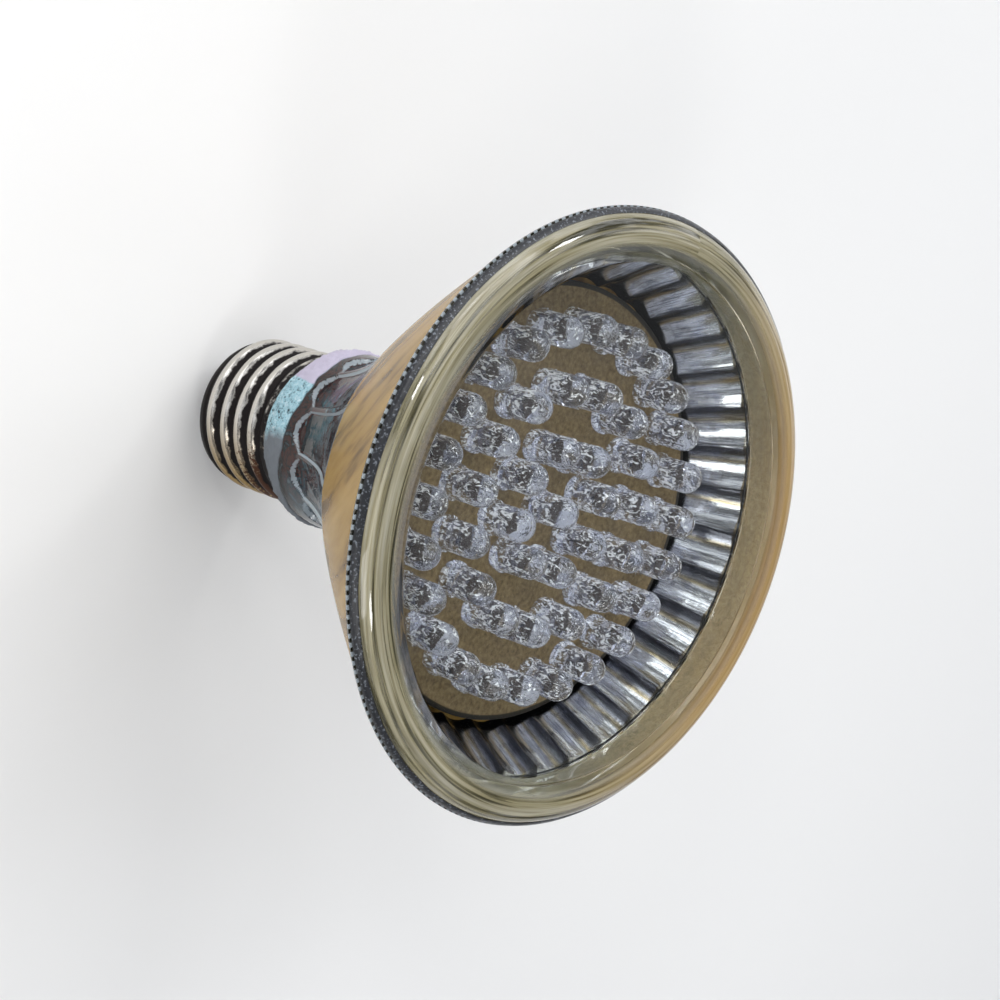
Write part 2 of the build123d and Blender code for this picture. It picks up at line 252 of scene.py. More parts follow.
# Towards +X: a warm tint, partly tarnish and partly a painted warm reflection.
low_side = add(tree, "MapRange", {"From Min": 2 * MM, "From Max": 12 * MM},
               {"Value": axes.outputs["X"]})
warm = add(tree, "Mix", {"data_type": "RGBA", 6: linear(NICKEL), 7: linear(NICKEL_TARNISH_AND_WARM_REFLECTION)},
           {0: low_side.outputs[0]})
collar_zone = add(tree, "MapRange", {"From Min": 13 * MM, "From Max": 22 * MM},
                  {"Value": axes.outputs["Z"]})
grain = add(tree, "TexNoise", {"Scale": 1 / (0.55 * MM), "Detail": 6.0, "Roughness": 0.75},
            {"Vector": where.outputs["Object"]})
lower = add(tree, "Math", {"operation": "MULTIPLY"},
            {0: collar_zone.outputs[0], 1: low_side.outputs[0]})
pitted = add(tree, "Math", {"operation": "MULTIPLY_ADD", 1: 0.42},
             {0: lower.outputs[0], 2: grain.outputs[0]})
spots = add(tree, "ValToRGB", {"stops": [(0.66, (0, 0, 0, 1)), (0.74, (1, 1, 1, 1))]},
            {"Fac": pitted.outputs[0]})
tinted = add(tree, "Mix", {"data_type": "RGBA", 7: linear(RUST)},
             {0: spots.outputs[0], 6: warm.outputs[2]})
colour = add(tree, "Mix", {"data_type": "RGBA", 7: linear(ROOT_GRIME_AND_SHADE)},
             {0: root.outputs[0], 6: tinted.outputs[2]})
roots_and_spots = add(tree, "Math", {"operation": "MAXIMUM"}, {0: root.outputs[0], 1: spots.outputs[0]})
dull = add(tree, "MapRange", {"To Min": 0.14, "To Max": 0.5}, {"Value": roots_and_spots.outputs[0]})
shine = add(tree, "MapRange", {"To Min": 1.0, "To Max": 0.7}, {"Value": roots_and_spots.outputs[0]})
rough = add(tree, "Bump", {"Strength": 0.3, "Distance": 0.05 * MM}, {"Height": grain.outputs[0]})
metal = add(tree, "BsdfPrincipled", {},
            {"Base Color": colour.outputs[2], "Metallic": shine.outputs[0],
             "Roughness": dull.outputs[0], "Normal": rough.outputs[0]})
add(tree, "OutputMaterial", {}, {"Surface": metal.outputs[0]})

piece("threaded_shell", turned(shell_line, 180), [nickel], ["screw_shell"])

# Cement: cap cement packed round the glass stem. It has foamed up over the collar and set as a
# crust, pale blue where copper salts have stained it and lilac-white where it was smeared.
STEM_RADIUS = 11.3
STEM_FOOT = 12.0
CUP_RADIUS = 11.85
CRUST_TOP = 30.4
CRUST_REACH = 2.9
CRUST_PEAK = -118
CRUST_STEPS = 33
CRUST_UNDER = 12.55
SHOULDER_RADIUS = 14.85
SHOULDER_HEIGHT = 29.4
CRUST_BLUE = "#9CC3CE"
CRUST_WHITE = "#DDE6E8"
CRUST_LILAC = "#BDB6C8"
CRUST_DARK = "#1E2A33"
CRUST_GREY = "#6F7479"


def crust_line(angle):
    """Section of the cement: it climbs in lumps from the collar over the glass shoulder."""
    around = Vector((math.cos(angle), math.sin(angle), 0))
    reach = CRUST_REACH * max(0, math.cos(angle - math.radians(CRUST_PEAK))) ** 2.5
    top = CRUST_TOP + reach + 1.2 * noise.noise(around * 1.7 + Vector((5, 0, 0)))
    top += 0.7 * noise.noise(around * 5.3)
    skin = []
    for step in range(CRUST_STEPS + 1):
        share = step / CRUST_STEPS
        height = SHELL_TOP - 0.8 + (top - SHELL_TOP + 0.8) * share
        rise = smooth_step(height, SHELL_TOP, SHOULDER_HEIGHT)
        under = CRUST_UNDER + (SHOULDER_RADIUS - CRUST_UNDER) * rise
        crumb = Vector((under * around.x, under * around.y, height))
        lump = 0.38 + 0.3 * noise.noise(crumb * 0.9)
        lump = lump + 0.26 * noise.noise(crumb * 2.6) + 0.12 * noise.noise(crumb * 6)
        skin.append((under + max(0.03, lump) * math.sin(math.pi * share) ** 0.35, height))
    foot = [(STEM_RADIUS, STEM_FOOT), (CUP_RADIUS, STEM_FOOT), (CUP_RADIUS, SHELL_TOP - 0.9)]
    back = [(SHOULDER_RADIUS - 0.3, top - 0.1), (14.2, 28.4), (11.4, SHELL_TOP + 1.9)]
    return foot + skin + back


crust, tree = new_finish("cap cement, crusted and stained")
where = add(tree, "TexCoord", {})
axes = add(tree, "SeparateXYZ", {}, {0: where.outputs["Object"]})
crumb = add(tree, "TexNoise", {"Scale": 1 / (0.7 * MM), "Detail": 6.0, "Roughness": 0.8},
            {"Vector": where.outputs["Object"]})
speckle = add(tree, "ValToRGB", {"stops": [
    (0.4, linear(CRUST_DARK)), (0.47, linear(CRUST_BLUE)), (0.54, linear(CRUST_BLUE)),
    (0.66, linear(CRUST_WHITE))]}, {"Fac": crumb.outputs[0]})
wide = add(tree, "TexNoise", {"Scale": 1 / (5 * MM), "Detail": 3.0},
           {"Vector": where.outputs["Object"]})
patch = add(tree, "Math", {"operation": "MULTIPLY_ADD", 1: 4 * MM},
            {0: wide.outputs[0], 2: axes.outputs["X"]})
upper = add(tree, "MapRange", {"From Min": -5 * MM, "From Max": -5.4 * MM},
            {"Value": patch.outputs[0]})
smear = add(tree, "Mix", {"data_type": "RGBA", 7: linear(CRUST_LILAC)},
            {0: upper.outputs[0], 6: speckle.outputs[0]})
plain = add(tree, "MapRange", {"From Min": 3 * MM, "From Max": 5.5 * MM},
            {"Value": patch.outputs[0]})
colour = add(tree, "Mix", {"data_type": "RGBA", 7: linear(CRUST_GREY)},
             {0: plain.outputs[0], 6: smear.outputs[2]})
bump = add(tree, "Bump", {"Strength": 0.9, "Distance": 0.25 * MM}, {"Height": crumb.outputs[0]})
chalk = add(tree, "BsdfPrincipled", {"Roughness": 0.85},
            {"Base Color": colour.outputs[2], "Normal": bump.outputs[0]})
add(tree, "OutputMaterial", {}, {"Surface": chalk.outputs[0]})

piece("cement_crust", turned(crust_line, 240), [crust], ["cap_cement"], sharp=80)

# Driver: a small phenolic board on edge in the neck. It carries a dipped film capacitor in
# front, an aluminium can in a shrink sleeve behind, a rectifier and two resistors.
BOARD_FRONT = 0.2
FILM_SIZE = (15.0, 7.6, 12.0)
FILM_CENTRE = (0.0, -3.6, 40.0)
CAN_PLACE = (0.0, 5.8)
CAN_RADIUS = 4.0
CAN_HEIGHTS = (34.0, 48.0)
PHENOLIC = "#8A6A3C"
PART_BLACK = "#191919"
DIPPED_RED = "#A8432C"
SLEEVE = "#1B1E2C"

driver, tree = new_finish("phenolic board with black and beige parts")
where = add(tree, "TexCoord", {})
axes = add(tree, "SeparateXYZ", {}, {0: where.outputs["Object"]})
proud = add(tree, "Math", {"operation": "LESS_THAN", 1: (BOARD_FRONT - 0.05) * MM},
            {0: axes.outputs["Y"]})
colour = add(tree, "Mix", {"data_type": "RGBA", 6: linear(PHENOLIC), 7: linear(PART_BLACK)},
             {0: proud.outputs[0]})
board = add(tree, "BsdfPrincipled", {"Roughness": 0.45}, {"Base Color": colour.outputs[2]})
add(tree, "OutputMaterial", {}, {"Surface": board.outputs[0]})
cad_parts["driver_board"].data.materials.clear()
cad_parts["driver_board"].data.materials.append(driver)


def dipped(size, centre, rows=20, steps=40):
    """Block with every edge drawn round by the resin it was dipped in, slightly lumpy."""
    def soft(value, power):
        return math.copysign(abs(value) ** power, value)

    points, faces = [], []
    for row in range(rows + 1):
        tilt = math.pi * (row / rows - 0.5)
        for step in range(steps):
            turn = math.tau * step / steps
            place = Vector((soft(math.cos(tilt), 0.45) * soft(math.cos(turn), 0.4),
                            soft(math.cos(tilt), 0.45) * soft(math.sin(turn), 0.4),
                            soft(math.sin(tilt), 0.45)))
            lump = 0.98 - 0.04 * noise.noise(place * 2)
            points.append(tuple(c + lump * p * s / 2 for c, p, s in zip(centre, place, size)))
    for row in range(rows):
        for step in range(steps):
            here, there = row * steps + step, row * steps + (step + 1) % steps
            faces.append((here, there, there + steps, here + steps))
    return points, faces


resin_red, tree = new_finish("epoxy powder coat, dipped and glossy")
where = add(tree, "TexCoord", {})
wave = add(tree, "TexNoise", {"Scale": 1 / (2.5 * MM)}, {"Vector": where.outputs["Object"]})
bump = add(tree, "Bump", {"Strength": 0.3, "Distance": 0.3 * MM}, {"Height": wave.outputs[0]})
coat = add(tree, "BsdfPrincipled", {"Base Color": linear(DIPPED_RED), "Roughness": 0.25},
           {"Normal": bump.outputs[0]})
add(tree, "OutputMaterial", {}, {"Surface": coat.outputs[0]})
piece("dipped_capacitor", dipped(FILM_SIZE, FILM_CENTRE), [resin_red],
      ["film_capacitor"])

sleeve, tree = new_finish("shrink sleeve, polyester")
film = add(tree, "BsdfPrincipled", {"Base Color": linear(SLEEVE), "Roughness": 0.3})
add(tree, "OutputMaterial", {}, {"Surface": film.outputs[0]})
can, faces = turned(lambda angle: [
    (0, CAN_HEIGHTS[0]), (3.6, CAN_HEIGHTS[0]), (CAN_RADIUS, 34.4), (CAN_RADIUS, 35.4), (3.7, 35.9),
    (CAN_RADIUS, 36.4), (CAN_RADIUS, 47.5), (3.5, CAN_HEIGHTS[1]), (0, 47.9)], 48)
can = [(x + CAN_PLACE[0], y + CAN_PLACE[1], z) for x, y, z in can]
piece("sleeved_can", (can, faces), [sleeve], ["smoothing_capacitor"])

# Reflector: pressed borosilicate glass. The glass is clear at the neck, where twelve moulded
# windows leave ribs between them, but it is tinted grey-blue there as painted shade for the dark
# inside. Aluminium is vapour-coated inside above the flare and shows tan from behind. Below it
# the inside of the neck is a dark sheet of painted shade, with painted pale highlights and brown
# patches. Window edges, the line where the coat starts and dashes on the rim are painted white
# highlights.
STEM_STEP = 27.42
NECK_RADIUS = 14.9
NECK_START = 29.62
NECK_END = 35.62
FLARE_MIDDLE = (17.65, 42.87)
FLARE_RADIUS = 22.1
FLARE_END = 50.12
BOWL_MIDDLE = (35.02, 67.56)
BOWL_RADIUS = 46.34
BOWL_TOP = 85.0
STEM_BORE = 9.7
THROAT_RADIUS = 12.7
THROAT_END = 18.9
WALL = 1.4
RIM_RADIUS = 47.6
RIM_HEIGHT = 86.4
SEAT_HEIGHT = 81.4
SEAT_RADIUS = 42.7
COAT_START = 56.0
COAT_LIFT = 1.8
COAT_ARCH = 1.6
BOARD_FOOT = 71.9
LEDGE_RADIUS = 32.9
MIRROR_FOOT_RADIUS = 34.7
MIRROR_TOP_RADIUS = 39.9
MIRROR_STEPS = 14
FLUTES = 35
FLUTE_DEPTH = 0.9
FLUTE_PHASE = 93.1
WINDOWS = 12
WINDOW_PHASE = -86.7
WINDOW_DEPTH = 0.9
WINDOW_DROP = 1.6
WINDOW_ARCH = 2.6
WINDOW_SIDE = (0.84, 0.93)
CLEAR_DEGREES = 14
CLEAR_HEIGHTS = (36, 46)
EDGE_FOOT = 33
EDGE_LINE = 0.35
EDGE_SLOPE = 0.3
NECK_SHADE_FOOT = 28
PROBE_HEIGHT = 0.12
PROBE_ANGLE = 0.008
STEPS_PER_FLUTE = 12
SLICE = 360 / (FLUTES * STEPS_PER_FLUTE)
STREAK_LEAN = 14.0
STREAK_DRIFT = 7.0
TAN_SLOT, NECK_SHADE_SLOT, HIGHLIGHT_SLOT, SEAT_SLOT = 1, 2, 3, 4
NECK_SHADE_TINT = "#A3B0B6"
BOWL_TINT = "#F3EEDC"
COAT_TAN = "#9A7A40"
COAT_SHADE = "#654C26"
COAT_PALE = "#AE8E52"
NECK_SHADE_DARK = "#0C0D10"
NECK_SHADE_HIGHLIGHT = "#7E8B93"
NECK_SHADE_BROWN = "#6E2A1B"
NECK_SHADE_SIDE = "#8FA2AA"
EDGE_HIGHLIGHT_WHITE = "#CCD8DE"
SEAT_GREY = "#B4B5AE"
SEAT_SHADE = "#6B6B62"


def arc(start, middle, end, count):
    """Points on the circle through three (radius, height) points, without the last one."""
    (ax, ay), (bx, by), (cx, cy) = start, middle, end
    a, b, c = ax * ax + ay * ay, bx * bx + by * by, cx * cx + cy * cy
    d = 2 * (ax * (by - cy) + bx * (cy - ay) + cx * (ay - by))
    ux = (a * (by - cy) + b * (cy - ay) + c * (ay - by)) / d
    uy = (a * (cx - bx) + b * (ax - cx) + c * (bx - ax)) / d
    first, last = math.atan2(ay - uy, ax - ux), math.atan2(cy - uy, cx - ux)
    sweep = (last - first + math.pi) % math.tau - math.pi
    size = math.hypot(ax - ux, ay - uy)
    turns = [first + sweep * i / count for i in range(count)]
    return [(ux + size * math.cos(turn), uy + size * math.sin(turn)) for turn in turns]


def off_middle(angle):
    """Place across a neck window: 0 on its middle line, 1 on the rib beside it."""
    pitch = math.tau / WINDOWS
    return abs((angle - math.radians(WINDOW_PHASE) + pitch / 2) % pitch - pitch / 2) / (pitch / 2)


def coat_start(angle):
    """Height where the tan shows from outside: it dips in an arch over each rib."""
    drift = 0.5 * noise.noise(Vector((3 * math.cos(angle), 3 * math.sin(angle), 0)))
    return COAT_START + COAT_LIFT - COAT_ARCH * off_middle(angle) ** 2 + drift


def window_cut(angle, height):
    """How far a moulded window lies below the round of the neck at this place."""
    across = off_middle(angle)
    foot = NECK_END - WINDOW_DROP + WINDOW_ARCH * across ** 2
    side = 1 - smooth_step(across, *WINDOW_SIDE)
    ends = smooth_step(height, foot, foot + 0.35)
    ends *= 1 - smooth_step(height, coat_start(angle) - 1.0, coat_start(angle) - 0.2)
    return WINDOW_DEPTH * (1 - 0.5 * across ** 2) * side * ends


OUTER_LINE = ([(STEM_RADIUS, STEM_FOOT), (STEM_RADIUS, STEM_STEP), (12.7, STEM_STEP), (13.6, 27.7),
               (14.4, 28.4), (14.8, 29.1), (NECK_RADIUS, NECK_START), (NECK_RADIUS, 31.5)]
              + [(NECK_RADIUS, 32.9 + 0.2 * step) for step in range(14)]
              + arc((NECK_RADIUS, NECK_END), FLARE_MIDDLE, (FLARE_RADIUS, FLARE_END), 60)
              + arc((FLARE_RADIUS, FLARE_END), BOWL_MIDDLE, (BOWL_RADIUS, BOWL_TOP), 84)
              + [(BOWL_RADIUS, BOWL_TOP), (47.1, 85.6), (47.5, 86.1), (RIM_RADIUS - 0.1, 86.35),
                 (47.3, RIM_HEIGHT)])
THROAT_LINE = list(reversed(
    [(THROAT_RADIUS, 30.62), (THROAT_RADIUS, 33.0)]
    + arc((THROAT_RADIUS, NECK_END), (14.95, 42.87), (THROAT_END, FLARE_END), 12)
    + [(THROAT_END, FLARE_END), (25.2, 60.3), (31.5, 70.5)]))


def flute(angle, share):
    """How far the groove lies behind the ridges at this angle."""
    pitch = math.tau / FLUTES
    across = ((angle - math.radians(FLUTE_PHASE) + pitch / 2) % pitch - pitch / 2) / (pitch / 2)
    return FLUTE_DEPTH * (1 - across * across) * (0.75 + 0.25 * share)


def mirror_line(angle, inset=0.0):
    """Fluted line from the seat down to the ledge."""
    line = []
    for share in [i / MIRROR_STEPS for i in range(MIRROR_STEPS, -1, -1)]:
        radius = MIRROR_FOOT_RADIUS + (MIRROR_TOP_RADIUS - MIRROR_FOOT_RADIUS) * share
        height = BOARD_FOOT + (SEAT_HEIGHT - BOARD_FOOT) * share
        line.append((radius + flute(angle, share) - inset, height))
    return line


def glass_line(angle):
    """Section of the glass: outside from stem to rim, then inside back down."""
    outside = [(r - window_cut(angle, z), z) for r, z in OUTER_LINE]
    seat = [(SEAT_RADIUS, RIM_HEIGHT), (SEAT_RADIUS, SEAT_HEIGHT)]
    ledge = [(LEDGE_RADIUS, BOARD_FOOT)]
    bore = [(STEM_BORE, STEM_STEP), (STEM_BORE, STEM_FOOT)]
    return outside + seat + mirror_line(angle) + ledge + THROAT_LINE + bore


neck_glass, tree = new_finish("borosilicate glass, pressed")
where = add(tree, "TexCoord", {})
axes = add(tree, "SeparateXYZ", {}, {0: where.outputs["Object"]})
zone = add(tree, "MapRange", {"From Min": (COAT_START - 1) * MM, "From Max": (COAT_START + 3) * MM},
           {"Value": axes.outputs["Z"]})
# The grey-blue tint at the neck is painted shade: it darkens the view into the neck.
tint = add(tree, "Mix", {"data_type": "RGBA", 6: linear(NECK_SHADE_TINT), 7: linear(BOWL_TINT)},
           {0: zone.outputs[0]})
ripple = add(tree, "TexNoise", {"Scale": 1 / (3 * MM), "Detail": 3.0},
             {"Vector": where.outputs["Object"]})
bump = add(tree, "Bump", {"Strength": 0.25, "Distance": 0.3 * MM}, {"Height": ripple.outputs[0]})
body = add(tree, "BsdfPrincipled", {"Transmission Weight": 1.0, "Roughness": 0.03, "IOR": 1.47,
                                    "Specular IOR Level": 0.2},
           {"Base Color": tint.outputs[2], "Normal": bump.outputs[0]})
lit = add(tree, "BsdfTransparent", {}, {"Color": tint.outputs[2]})
path = add(tree, "LightPath", {})
both = add(tree, "MixShader", {},
           {0: path.outputs["Is Shadow Ray"], 1: body.outputs[0], 2: lit.outputs[0]})
add(tree, "OutputMaterial", {}, {"Surface": both.outputs[0]})

# Inside of the neck: a dark sheet of painted shade, with painted pale highlights, brown patches and
# a lighter grey-blue towards +X.
neck_shade, tree = new_finish("painted shade inside the neck, with painted highlights")
where = add(tree, "TexCoord", {})
axes = add(tree, "SeparateXYZ", {}, {0: where.outputs["Object"]})
cloud = add(tree, "TexNoise",
            {"Scale": 1 / (2.6 * MM), "Detail": 5.0, "Roughness": 0.65, "Distortion": 0.8},
            {"Vector": where.outputs["Object"]})
shade_and_highlights = add(tree, "ValToRGB", {"stops": [(0.4, linear(NECK_SHADE_DARK)), (0.49, linear(NECK_SHADE_BROWN)),
                                         (0.57, linear(NECK_SHADE_DARK)), (0.66, linear(NECK_SHADE_HIGHLIGHT))]},
            {"Fac": cloud.outputs[0]})
side = add(tree, "MapRange", {"From Min": 7 * MM, "From Max": 11 * MM, "To Max": 0.55},
           {"Value": axes.outputs["X"]})
colour = add(tree, "Mix", {"data_type": "RGBA", 7: linear(NECK_SHADE_SIDE)},
             {0: side.outputs[0], 6: shade_and_highlights.outputs[0]})
film = add(tree, "BsdfPrincipled", {"Roughness": 0.5, "Specular IOR Level": 0.1},
           {"Base Color": colour.outputs[2]})
add(tree, "OutputMaterial", {}, {"Surface": film.outputs[0]})

tan_coat, tree = new_finish("aluminium coat seen through the glass, aged tan")
where = add(tree, "TexCoord", {})
axes = add(tree, "SeparateXYZ", {}, {0: where.outputs["Object"]})
angle = add(tree, "Math", {"operation": "ARCTAN2"}, {0: axes.outputs["Y"], 1: axes.outputs["X"]})
lean = add(tree, "Math", {"operation": "MULTIPLY_ADD", 1: STREAK_LEAN},
           {0: axes.outputs["Z"], 2: angle.outputs[0]})
drift = add(tree, "Math", {"operation": "MULTIPLY", 1: STREAK_DRIFT}, {0: axes.outputs["Z"]})
sheet = add(tree, "CombineXYZ", {}, {0: lean.outputs[0], 1: drift.outputs[0]})
folds = add(tree, "TexNoise", {"Scale": 5.0, "Detail": 4.0, "Roughness": 0.55},
            {"Vector": sheet.outputs[0]})
colour = add(tree, "ValToRGB", {"stops": [(0.38, linear(COAT_SHADE)), (0.48, linear(COAT_TAN)),
                                          (0.66, linear(COAT_PALE))]}, {"Fac": folds.outputs[0]})
coat = add(tree, "BsdfPrincipled", {"Roughness": 0.22, "Specular IOR Level": 0.04},
           {"Base Color": colour.outputs[0]})
add(tree, "OutputMaterial", {}, {"Surface": coat.outputs[0]})

# Painted white highlight for the window edges, the line where the coat starts and dashes on the
# rim.
highlight_glass, tree = new_finish("moulded glass edge, painted white highlight")
body = add(tree, "BsdfPrincipled",
           {"Base Color": linear(EDGE_HIGHLIGHT_WHITE), "Transmission Weight": 0.5, "Roughness": 0.2})
add(tree, "OutputMaterial", {}, {"Surface": body.outputs[0]})

ground, tree = new_finish("ground glass seat, grey")
where = add(tree, "TexCoord", {})
grit = add(tree, "TexNoise", {"Scale": 1 / (0.8 * MM), "Detail": 4.0, "Roughness": 0.7},
           {"Vector": where.outputs["Object"]})
colour = add(tree, "ValToRGB", {"stops": [(0.4, linear(SEAT_SHADE)), (0.6, linear(SEAT_GREY))]},
             {"Fac": grit.outputs[0]})
body = add(tree, "BsdfPrincipled", {"Roughness": 0.5}, {"Base Color": colour.outputs[0]})
add(tree, "OutputMaterial", {}, {"Surface": body.outputs[0]})

bowl = piece("pressed_glass", turned(glass_line, FLUTES * STEPS_PER_FLUTE),
             [neck_glass, tan_coat, neck_shade, highlight_glass, ground],
             ["glass_reflector"], sharp=40)


def outer_radius(height):
    """Radius of the outside of the glass at a height."""
    for (r0, z0), (r1, z1) in zip(OUTER_LINE, OUTER_LINE[1:]):
        if z0 <= height <= z1:
            return r0 + (r1 - r0) * (height - z0) / max(1e-6, z1 - z0)
    return OUTER_LINE[-1][0]


for face in bowl.data.polygons:
    radius, height = math.hypot(face.center.x, face.center.y) / MM, face.center.z / MM
    inner = radius < outer_radius(height) - WALL and height < SEAT_HEIGHT + 0.1
    rebate = height > SEAT_HEIGHT - 0.1 and radius < SEAT_RADIUS + 0.1
    turn = math.degrees(math.atan2(face.center.y, face.center.x)) - WINDOW_PHASE
    aside = abs((turn + 180) % 360 - 180)
    clear = aside < CLEAR_DEGREES and CLEAR_HEIGHTS[0] < height < CLEAR_HEIGHTS[1]
    place = math.radians(turn + WINDOW_PHASE)
    along = window_cut(place, height + PROBE_HEIGHT) - window_cut(place, height - PROBE_HEIGHT)
    across = window_cut(place + PROBE_ANGLE, height) - window_cut(place - PROBE_ANGLE, height)
    slope = max(abs(along), 1.3 * abs(across))
    steep = EDGE_FOOT < height < COAT_START + 2 and slope > EDGE_SLOPE
    # Every other slice of the rim top takes the painted highlight, as dashes.
    rim_highlight_dashes = height > RIM_HEIGHT - 0.3 and int(turn / SLICE) % 2
    if rebate:
        face.material_index = SEAT_SLOT
    elif not inner and coat_start(place) + EDGE_LINE < height < BOWL_TOP:
        face.material_index = TAN_SLOT
    elif not inner and (coat_start(place) < height < BOWL_TOP or rim_highlight_dashes or steep):
        face.material_index = HIGHLIGHT_SLOT
    elif inner and height > COAT_START + 3:
        face.material_index = TAN_SLOT
    elif inner and height > NECK_SHADE_FOOT and not clear:
        face.material_index = NECK_SHADE_SLOT

# Mirror: the front of the same aluminium coat, bright behind the lens. The pressing leaves
# fine lines along each flute, which break the reflections into streaks. Each ridge carries a
# painted shadow band, one slope of each flute is painted tan then grey, and the foot is painted
# dark as shade where the mirror meets the board.
FILM_THICK = 0.05
LINES_ALONG = 22.0
HAIRS_AROUND = 150.0
HAIRS_ALONG = 200.0
HAIR_WAVE = 0.16
ALUMINIUM = "#F1F3F7"
MIRROR_FOOT_SHADE = "#0E0D0C"
RIDGE_SHADOW = "#5A5B62"
FLUTE_TAN = "#C6B795"
FLUTE_GREY = "#B0B2BA"
HAIR_DARK = "#B4B6BE"

mirror, tree = new_finish("aluminium, vapour-coated on pressed glass")
where = add(tree, "TexCoord", {})
axes = add(tree, "SeparateXYZ", {}, {0: where.outputs["Object"]})
angle = add(tree, "Math", {"operation": "ARCTAN2"}, {0: axes.outputs["Y"], 1: axes.outputs["X"]})
run = add(tree, "Math", {"operation": "MULTIPLY", 1: LINES_ALONG}, {0: axes.outputs["Z"]})
across = add(tree, "CombineXYZ", {}, {0: angle.outputs[0], 1: run.outputs[0]})
lines = add(tree, "TexNoise", {"Scale": 38.0, "Detail": 4.0, "Roughness": 0.6},
            {"Vector": across.outputs[0]})
bump = add(tree, "Bump", {"Strength": 0.3, "Distance": 0.1 * MM}, {"Height": lines.outputs[0]})
fine = add(tree, "Math", {"operation": "MULTIPLY", 1: HAIRS_AROUND}, {0: angle.outputs[0]})
long = add(tree, "Math", {"operation": "MULTIPLY", 1: HAIRS_ALONG}, {0: axes.outputs["Z"]})
drawn = add(tree, "CombineXYZ", {}, {0: fine.outputs[0], 1: long.outputs[0]})
hairs = add(tree, "TexNoise", {"Scale": 1.0, "Detail": 3.0, "Roughness": 0.6},
            {"Vector": drawn.outputs[0]})
shift = 0.5 - FLUTE_PHASE * FLUTES / 360
count = add(tree, "Math", {"operation": "MULTIPLY_ADD", 1: FLUTES / math.tau, 2: shift},
            {0: angle.outputs[0]})
wave = add(tree, "Math", {"operation": "MULTIPLY_ADD", 1: HAIR_WAVE},
           {0: hairs.outputs[0], 2: count.outputs[0]})
part = add(tree, "Math", {"operation": "FRACT"}, {0: wave.outputs[0]})
# Each ridge gets a painted shadow band; one slope of each flute is painted tan then grey.
stripe = add(tree, "ValToRGB", {"stops": [
    (0.0, linear(RIDGE_SHADOW)), (0.09, linear(RIDGE_SHADOW)), (0.2, linear(ALUMINIUM)),
    (0.66, linear(ALUMINIUM)), (0.75, linear(FLUTE_TAN)), (0.86, linear(FLUTE_GREY)),
    (0.96, linear(RIDGE_SHADOW))]}, {"Fac": part.outputs[0]})
worn = add(tree, "ValToRGB", {"stops": [(0.34, linear(HAIR_DARK)), (0.54, (1, 1, 1, 1))]},
           {"Fac": hairs.outputs[0]})
lined = add(tree, "Mix", {"data_type": "RGBA", "blend_type": "MULTIPLY", 0: 1.0},
            {6: stripe.outputs[0], 7: worn.outputs[0]})
# Painted shade: the foot of the mirror is dark where it meets the board.
foot = add(tree, "MapRange", {"From Min": 73.2 * MM, "From Max": 73.6 * MM},
           {"Value": axes.outputs["Z"]})
silver = add(tree, "Mix", {"data_type": "RGBA", 6: linear(MIRROR_FOOT_SHADE)},
             {0: foot.outputs[0], 7: lined.outputs[2]})
metal = add(tree, "BsdfPrincipled", {"Metallic": 1.0, "Roughness": 0.12},
            {"Base Color": silver.outputs[2], "Normal": bump.outputs[0]})
add(tree, "OutputMaterial", {}, {"Surface": metal.outputs[0]})


def film_line(angle):
    """The coat as a thin skin on the flutes, with a land at the seat and one at the ledge."""
    front = mirror_line(angle, 2 * FILM_THICK)
    back = mirror_line(angle, FILM_THICK)
    top = [(SEAT_RADIUS - 0.2, SEAT_HEIGHT + FILM_THICK),
           (SEAT_RADIUS - 0.2, SEAT_HEIGHT + 2 * FILM_THICK)]
    return top[:1] + back + list(reversed(front)) + top[1:]


piece("mirror_film", turned(film_line, FLUTES * STEPS_PER_FLUTE), [mirror],
      sharp=50)

# Diode board: paper-phenolic disc, tan on the face, dusty and slightly glossy, with a dark ring
# of painted shade at its edge where it meets the mirror.
BOARD_RADIUS = 34.5
BOARD_TOP = 73.5
DARK_RADIUS = 33.6
BOARD_TAN = "#8A7654"
BOARD_DARK = "#594930"
BOARD_EDGE_SHADE = "#15110C"

phenolic, tree = new_finish("paper phenolic board, tan face")
where = add(tree, "TexCoord", {})
pulp = add(tree, "TexNoise", {"Scale": 1 / (0.8 * MM), "Detail": 6.0, "Roughness": 0.7},
           {"Vector": where.outputs["Object"]})
colour = add(tree, "ValToRGB", {"stops": [(0.35, linear(BOARD_DARK)), (0.62, linear(BOARD_TAN))]},
             {"Fac": pulp.outputs[0]})
flat = add(tree, "VectorMath", {"operation": "MULTIPLY", 1: (1, 1, 0)},
           {0: where.outputs["Object"]})
radius = add(tree, "VectorMath", {"operation": "LENGTH"}, {0: flat.outputs[0]})
# Painted shade: a dark ring at the board's edge where it meets the mirror.
cut = add(tree, "MapRange", {"From Min": DARK_RADIUS * MM, "From Max": (DARK_RADIUS + 0.2) * MM},
          {"Value": radius.outputs["Value"]})
edged = add(tree, "Mix", {"data_type": "RGBA", 7: linear(BOARD_EDGE_SHADE)},
            {0: cut.outputs[0], 6: colour.outputs[0]})
face = add(tree, "BsdfPrincipled", {"Roughness": 0.42}, {"Base Color": edged.outputs[2]})
add(tree, "OutputMaterial", {}, {"Surface": face.outputs[0]})
piece("diode_board", turned(lambda angle: [
    (0, BOARD_FOOT), (BOARD_RADIUS, BOARD_FOOT), (BOARD_RADIUS, BOARD_TOP - 0.1),
    (BOARD_RADIUS - 0.1, BOARD_TOP), (BOARD_RADIUS - 0.3, BOARD_TOP), (0, BOARD_TOP)], 180),
      [phenolic], ["led_board"])

